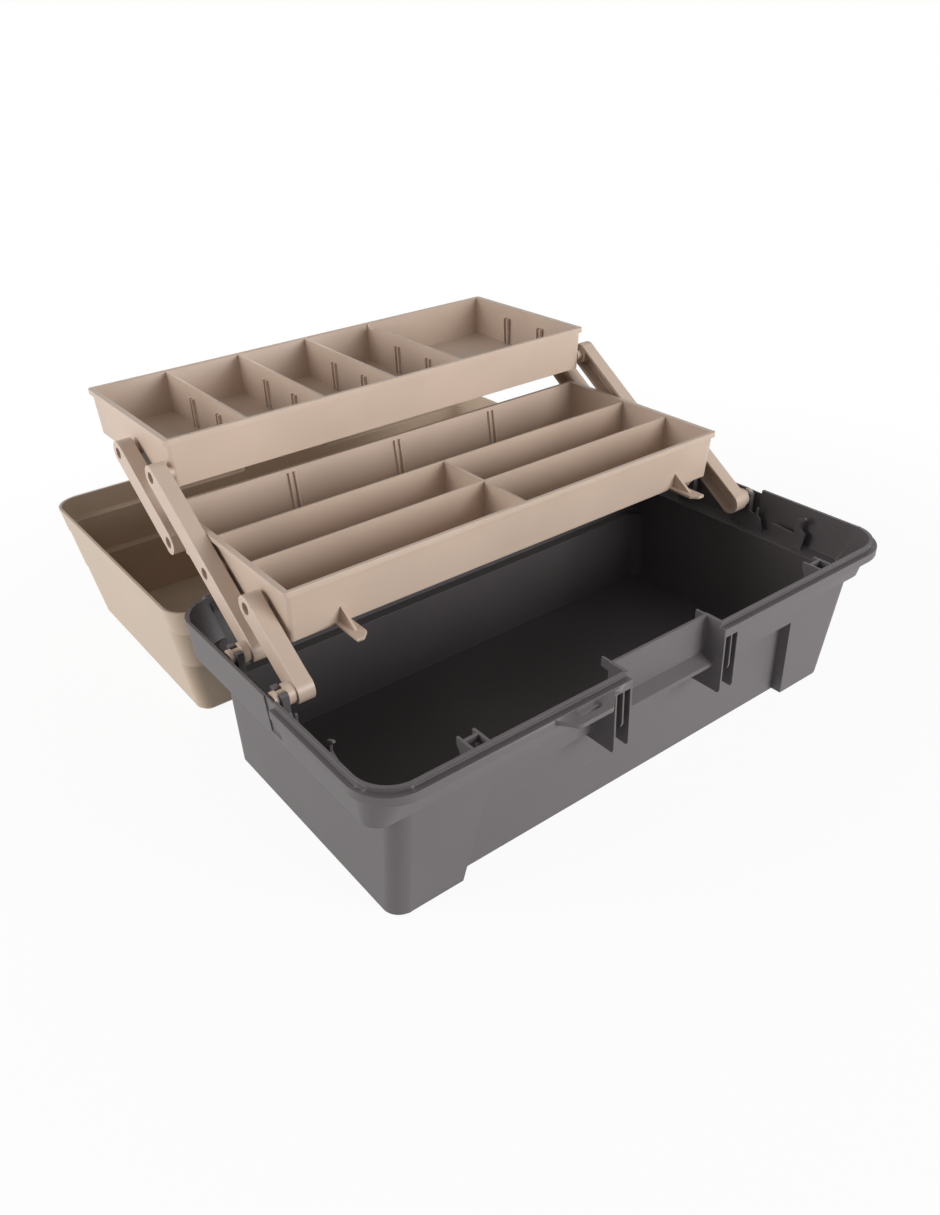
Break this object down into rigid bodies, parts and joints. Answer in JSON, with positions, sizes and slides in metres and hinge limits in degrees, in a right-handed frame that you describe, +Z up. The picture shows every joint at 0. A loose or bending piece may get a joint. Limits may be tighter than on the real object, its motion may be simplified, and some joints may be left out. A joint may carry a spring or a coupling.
{
  "type": "cantilever tackle box",
  "caption": "Fishing tackle box with a hinged lid, a divided lower and upper tray on parallel cantilever arms, a latch bay, a padlock tab and a fold-down handle.",
  "frame": {"origin": "middle of the tub's flat underside, on the surface it stands on", "axes": "+X along the box's length to the right seen from the front, -Y is the front with the latch, +Z is up; the open lid and trays reach back along +Y"},
  "size_m": [0.4412, 0.5452, 0.2163],
  "materials": {
    "dark_grey_plastic": "moulded polypropylene, fine satin grain",
    "tan_lid_plastic": "moulded polypropylene, fine satin grain",
    "tan_tray_plastic": "moulded polypropylene, smooth satin",
    "steel": "plain drawn steel"
  },
  "bodies": {
    "base": {"base_tub": "dark_grey_plastic", "hinge_pin_left": "steel", "hinge_pin_right": "steel"},
    "lid": {"lid": "tan_lid_plastic", "latch_pin": "steel"},
    "latch": {"latch": "dark_grey_plastic"},
    "handle": {"handle": "dark_grey_plastic"},
    "long_arms": {"long_arm_left": "tan_tray_plastic", "long_arm_right": "tan_tray_plastic"},
    "front_arms": {"front_arm_left": "tan_tray_plastic", "front_arm_right": "tan_tray_plastic"},
    "rear_links": {"rear_link_left": "tan_tray_plastic", "rear_link_right": "tan_tray_plastic"},
    "lower_tray": {"lower_tray": "tan_tray_plastic"},
    "upper_tray": {"upper_tray": "tan_tray_plastic"}
  },
  "joints": [
    {"name": "lid_hinge", "type": "hinge", "parent": "base", "child": "lid", "pos_m": [0, 0.1306, 0.1105], "axis": [1, 0, 0], "range_deg": [0, 180]},
    {"name": "long_arm_hinge", "type": "hinge", "parent": "base", "child": "long_arms", "pos_m": [0, 0.05145, 0.1125], "axis": [1, 0, 0], "range_deg": [0, 121.5]},
    {"name": "front_arm_hinge", "type": "hinge", "parent": "base", "child": "front_arms", "pos_m": [0, -0.00635, 0.1125], "axis": [1, 0, 0], "range_deg": [0, 121.5]},
    {"name": "lower_tray_hinge", "type": "hinge", "parent": "long_arms", "child": "lower_tray", "pos_m": [0, 0.10129, 0.14662], "axis": [1, 0, 0], "range_deg": [-121.5, 0]},
    {"name": "upper_tray_hinge", "type": "hinge", "parent": "long_arms", "child": "upper_tray", "pos_m": [0, 0.16763, 0.19205], "axis": [1, 0, 0], "range_deg": [-121.5, 0]},
    {"name": "rear_link_hinge", "type": "hinge", "parent": "lower_tray", "child": "rear_links", "pos_m": [0, 0.15909, 0.14662], "axis": [1, 0, 0], "range_deg": [0, 121.5]},
    {"name": "latch_hinge", "type": "hinge", "parent": "lid", "child": "latch", "pos_m": [0, 0.3864, 0.09], "axis": [1, 0, 0], "range_deg": [0, 180]},
    {"name": "handle_hinge", "type": "hinge", "parent": "lid", "child": "handle", "pos_m": [0, 0.2822, 0.0064], "axis": [1, 0, 0], "range_deg": [0, 90]}
  ],
  "couplings": [
    {"joint": "long_arm_hinge", "follows": "lid_hinge", "ratio": 0.675},
    {"joint": "front_arm_hinge", "follows": "lid_hinge", "ratio": 0.675},
    {"joint": "lower_tray_hinge", "follows": "lid_hinge", "ratio": -0.675},
    {"joint": "upper_tray_hinge", "follows": "lid_hinge", "ratio": -0.675},
    {"joint": "rear_link_hinge", "follows": "lid_hinge", "ratio": 0.675}
  ]
}
